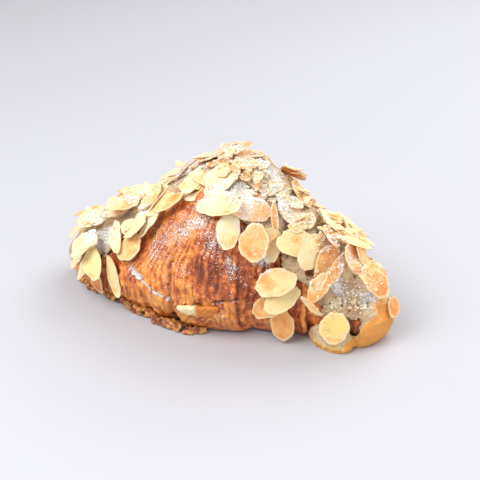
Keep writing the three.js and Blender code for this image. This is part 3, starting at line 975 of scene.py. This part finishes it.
def laySlices():
    draw = random.Random(almond["seed"])
    slotOf = {row["node"]: row["material_slot"] for row in frame["record"]["subparts"]}
    pastX, beforeY, underZ, footToast, footSoaked = almond["footSlice"]
    pieces = []
    for name in sorted(key for key in nodes if key.startswith("almond_slice")):
        axes, centre, length, width = sliceFrame(nodes[name])
        tone = slotOf[name].replace("almond_", "")
        toast, soaked = almond["tones"][tone] + draw.uniform(*almond["toneSpread"]), None
        x, y, z = fromHome(centre)
        if x > pastX and y < beforeY and z < underZ:
            toast, soaked = footToast, footSoaked
        pieceName = name.replace("almond_slice", "slice")
        piece = placeSlice(sliceMaster, pieceName, axes, centre, length, width, toast, draw, soaked=soaked)
        finish(piece, almondLook, slotOf[name], name)
        pieces.append(piece)
    return pieces


almondLook = almondMaterial("sliced almond")
slicePieces = laySlices()
print("croissant:", len(slicePieces), "slices")


# ---- finding the surface under a place ----

def surfaceOf(pieces):
    # one search tree over the pieces, as they are now
    corners, faces = [], []
    for piece in pieces:
        start = len(corners)
        corners.extend(map(tuple, pointsOf(piece)))
        faces.extend([tuple(start + k for k in face.vertices) for face in piece.data.polygons])
    return BVHTree.FromPolygons(corners, faces)


# ---- the many smaller slices and slivers between them ----

bits = {
    "seed": 7,
    # zones: x from and to, angle from and to, how many, tone, length from and to, share of slivers
    "zones": [
        (-74, -52, -60, 40, 18, "pale", 7, 14, 0.4),
        (-56, -28, -36, 56, 15, "pale", 7, 15, 0.35),
        (-52, -24, -26, 20, 8, "golden", 9, 14, 0.2),
        (-32, -4, -16, 56, 18, "golden", 7, 15, 0.35),
        (-6, 16, -22, 22, 16, "golden", 8, 13, 0.3),
        (2, 14, -14, 10, 9, "toasted", 7, 12, 0.3),
        (-8, 20, 10, 60, 10, "pale", 9, 15, 0.3),
        (12, 42, -46, 60, 28, "golden", 7, 15, 0.35),
        (40, 66, -30, 62, 18, "golden", 8, 15, 0.4),
        (62, 79, -30, 50, 9, "toasted", 7, 12, 0.45),
        (-30, -8, -26, -6, 9, "pale", 9, 14, 0.1),
        (-6, 8, -30, -10, 4, "golden", 9, 13, 0.1),
    ],
    "sliverWidth": (0.22, 0.36),   # as a share of the length
    "pieceWidth": (0.6, 0.8),
    "wholeShare": 0.5,   # of those that aren't slivers
    "toneSpread": (-0.25, 0.35),
    # long slivers that lie along the right ridge: x from and to, angle from and to, how many
    "ridge": (48, 78, -26, 14, 14),
    "ridgeLength": (12, 19),
    "ridgeWidth": (3, 6),
    "ridgeTurn": 18,   # degrees
    "lean": 0.16,
    "curl": 1.5,
    "lift": 0.45,   # mm over what it lies on
}


def layBit(ground, draw, place, size, tone, spin, master):
    start, aim = onLoaf(*place)
    hit, normal, _, _ = ground.ray_cast(start, aim)
    if hit is None:
        return None
    lean = Vector([draw.gauss(0, bits["lean"]) for _ in range(3)])
    outward = (normal + (-aim) * 1.2 + lean).normalized()
    lengthways = Vector((1, 0, 0)) - outward * outward.x
    lengthways = Matrix.Rotation(spin, 3, outward) @ lengthways.normalized()
    axes = lengthways, outward.cross(lengthways), outward
    toast = almond["tones"][tone] + draw.uniform(*bits["toneSpread"])
    centre = hit + outward * bits["lift"] * mm
    return placeSlice(master, "bit", axes, centre, *size, toast, draw, bits["curl"])


def scatterBits():
    draw = random.Random(bits["seed"])
    made = []
    ground = surfaceOf([pastry, creamPiece, *slicePieces])
    for x0, x1, a0, a1, count, tone, l0, l1, sliverShare in bits["zones"]:
        for _ in range(count):
            length = draw.uniform(l0, l1) * mm
            sliver = draw.random() < sliverShare
            width = length * draw.uniform(*bits["sliverWidth" if sliver else "pieceWidth"])
            whole = sliver or draw.random() < bits["wholeShare"]
            master = sliceMaster if whole else draw.choice(brokenMasters)
            place = draw.uniform(x0, x1), draw.uniform(a0, a1)
            spin = draw.uniform(0, 2 * math.pi)
            made.append(layBit(ground, draw, place, (length, width), tone, spin, master))
    x0, x1, a0, a1, count = bits["ridge"]
    for _ in range(count):
        size = draw.uniform(*bits["ridgeLength"]) * mm, draw.uniform(*bits["ridgeWidth"]) * mm
        place = draw.uniform(x0, x1), draw.uniform(a0, a1)
        spin = math.radians(draw.gauss(0, bits["ridgeTurn"]))
        made.append(layBit(ground, draw, place, size, "golden", spin, sliceMaster))
    return [piece for piece in made if piece]


def joinPieces(pieces, name):
    clearSelection()
    for piece in pieces:
        piece.select_set(True)
    bpy.context.view_layer.objects.active = pieces[0]
    bpy.ops.object.join()
    pieces[0].name = name
    return pieces[0]


bitPieces = scatterBits()
bitCount = len(bitPieces)
smallSlices = joinPieces(bitPieces, "small_slices")
finish(smallSlices, almondLook, "almond_golden")
for pattern in (sliceMaster, *brokenMasters):
    bpy.data.objects.remove(pattern)
print("croissant:", bitCount, "small slices and slivers")


# ---- crumbs of baked cream, and icing sugar ----

crumbs = {
    "seed": 5,
    "count": 1250,
    "size": (0.22, 0.8),   # mm, radius
    # x, y, z and reach in mm, and how thickly they lie
    "places": [
        (12, -8, 80, 7, 1.4), (24, -10, 74, 8, 1.6), (34, -8, 66, 8, 1.2), (46, -10, 56, 7, 0.7),
        (58, -12, 48, 7, 0.7), (58, -23, 33, 5, 0.8), (66, -21, 30, 6, 1.1), (73, -17, 24, 6, 1.1),
        (60, -26, 22, 5, 0.6), (-55, -16, 36, 6, 0.5), (-6, -2, 76, 6, 0.5), (-30, -6, 58, 6, 0.4),
        (-62, -10, 38, 6, 0.3), (10, 16, 70, 12, 0.4), (36, 10, 56, 10, 0.3),
    ],
    "stops": [(0.36, (0.80, 0.55, 0.25)), (0.48, (0.88, 0.74, 0.46)), (0.62, (0.92, 0.83, 0.62))],
}

sugar = {
    "seed": 19,
    "count": 9500,
    "size": (0.08, 0.26),
    "places": icing["drifts"],
    "stops": [(0.3, (0.90, 0.89, 0.89)), (0.7, (0.97, 0.97, 0.97))],
}

falling = {
    "spread": 0.62,   # of their place's reach
    "start": 60 * mm,
    "lowest": 4 * mm,
    "furthest": 12 * mm,   # from where they aimed
    "steepest": -0.1,   # none stay where the surface faces down more
    "largeShare": 0.1,
    "large": 1.8,
    "stretch": (0.7, 1.3),
    "lift": 0.3,   # of a grain's radius
}


def modelGrain(detail):
    # one grain: a low ball with its corners knocked about
    bpy.ops.mesh.primitive_ico_sphere_add(subdivisions=detail, radius=1)
    grain = bpy.context.object
    editAll()
    bpy.ops.transform.resize(value=(1, 0.85, 0.7))
    bpy.ops.transform.vertex_random(offset=0.22, seed=3)
    bpy.ops.object.mode_set(mode="OBJECT")
    return grain


def dropGrain(draw, ground, places, weights):
    # where one grain comes to lie and the surface's direction there, or nothing if it falls past
    *spot, reach, _ = draw.choices(places, weights)[0]
    strayed = Vector([value + draw.gauss(0, reach * falling["spread"]) for value in spot])
    target = Vector(home) + strayed * mm
    aim = Vector((draw.gauss(0, 0.2), draw.gauss(0.5, 0.35), -1)).normalized()
    hit, normal, _, _ = ground.ray_cast(target - aim * falling["start"], aim)
    if hit is None or hit.z < falling["lowest"] or normal.z < falling["steepest"]:
        return None
    return (hit, normal) if (hit - target).length <= falling["furthest"] else None


def strew(name, settings, ground, grain):
    # grains dropped on what lies under their places, more where a place is larger and stronger
    draw = random.Random(settings["seed"])
    shape = pointsOf(grain)
    faces = np.array([list(face.vertices) for face in grain.data.polygons])
    bpy.data.objects.remove(grain)
    weights = [strength * reach**2 for *_, reach, strength in settings["places"]]
    corners, polygons = [], []
    for _ in range(settings["count"] * 3):
        if len(corners) >= settings["count"]:
            break
        landed = dropGrain(draw, ground, settings["places"], weights)
        if not landed:
            continue
        hit, normal = landed
        size = draw.uniform(*settings["size"]) * mm
        size *= falling["large"] if draw.random() < falling["largeShare"] else 1
        stretch = np.array([draw.uniform(*falling["stretch"]) for _ in range(3)])
        turn = np.array(Matrix.Rotation(draw.uniform(0, 2 * math.pi), 3, "Z"))
        body = shape @ turn * stretch * size + np.array(hit + normal * size * falling["lift"])
        polygons.append(faces + len(shape) * len(corners))
        corners.append(np.clip(body, boxLow, boxHigh))
    mesh = bpy.data.meshes.new(name)
    mesh.from_pydata(np.concatenate(corners).tolist(), [], np.concatenate(polygons).tolist())
    piece = addObject(name, mesh)
    pick(piece)
    bpy.ops.object.shade_smooth()
    print("croissant:", len(corners), name)
    return piece


def sugarMaterial():
    material, tree, shader = softMaterial("icing sugar", 0.75, 0.1, 0.6 * mm)
    value = noiseNode(tree, objectPlace(tree), 0.6 * mm, 2)
    tree.links.new(colours(tree, value, *sugar["stops"]), shader.inputs["Base Color"])
    addBump(tree, shader, value, 0.2 * mm)
    return material


def crumbMaterial():
    material, tree, shader = softMaterial("crumbs of cream", 0.6, 0.15, 1.5 * mm)
    value = noiseNode(tree, objectPlace(tree), 4 * mm, 4, 0.6)
    colour = colours(tree, value, *crumbs["stops"])
    white = sugared(tree, colour, shader, between(tree, value, 0.4, 0.7))
    addBump(tree, shader, mathNode(tree, "ADD", value, white), 0.4 * mm)
    return material


toppings = [pastry, creamPiece, smallSlices]
crumbPiece = strew("cream_crumbs", crumbs, surfaceOf([*toppings, *slicePieces]), modelGrain(2))
addValues(crumbPiece, sugarAt=0.2 + 0.8 * sugarOn(pointsOf(crumbPiece), normalsOf(crumbPiece)))
finish(crumbPiece, crumbMaterial(), "almond_cream")

toppings.append(crumbPiece)
sugarPiece = strew("sugar_grains", sugar, surfaceOf([*toppings, *slicePieces]), modelGrain(1))
finish(sugarPiece, sugarMaterial(), "icing_sugar")


# ---- floor, light and camera ----

studio = {
    "floor": (0.505, 0.512, 0.556),
    "floorSize": 8,   # m
    "floorShade": 0.985,   # of the colour, in its darker patches
    "sky": (1.0, 0.975, 0.95),
    "skyStrength": 0.65,
    "cameraPlace": (145.69, -404.52, 277.3),   # mm from the middle of the pastry
    "cameraAim": (-2.91, 35.88, 14),
    "lens": 75,
    # place in mm, size in m and watts
    "lamps": {
        "key": ((-260, -380, 600), 0.5, 4.7),
        "back": ((250, 500, 600), 0.8, 4.6),
        "side": ((600, -200, 300), 0.6, 1.0),
    },
    "lampAim": (0, 0, 30),
}


def lookAt(thing, place, aim):
    thing.location = Vector(home) + Vector(place) * mm
    thing.rotation_euler = (Vector(aim) - Vector(place)).to_track_quat("-Z", "Y").to_euler()


def buildFloor():
    bpy.ops.mesh.primitive_plane_add(size=studio["floorSize"])
    floor = bpy.context.object
    floor.name = "floor"
    material, tree, shader = newMaterial("pale floor", 0.7)
    tone = noiseNode(tree, objectPlace(tree), 0.4, 2)
    darker = tuple(value * studio["floorShade"] for value in studio["floor"])
    colour = colours(tree, tone, (0.3, darker), (0.7, studio["floor"]))
    tree.links.new(colour, shader.inputs["Base Color"])
    floor.data.materials.append(material)


def lightScene():
    world = bpy.data.worlds.new("soft sky")
    bpy.context.scene.world = world
    world.use_nodes = True
    background = world.node_tree.nodes["Background"]
    background.inputs["Color"].default_value = (*studio["sky"], 1)
    background.inputs["Strength"].default_value = studio["skyStrength"]
    for name, (place, size, watts) in studio["lamps"].items():
        lamp = bpy.data.lights.new(name, "AREA")
        lamp.shape = "DISK"
        lamp.size = size
        lamp.energy = watts
        lookAt(addObject(name, lamp), place, studio["lampAim"])


def placeCamera():
    camera = bpy.data.cameras.new("camera")
    camera.lens = studio["lens"]
    camera.clip_start = 0.01
    bpy.context.scene.camera = addObject("camera", camera)
    lookAt(bpy.context.scene.camera, studio["cameraPlace"], studio["cameraAim"])


bpy.context.scene.view_settings.view_transform = "Standard"   # bread colours stay warm
buildFloor()
lightScene()
placeCamera()
print("croissant: floor, light and camera")
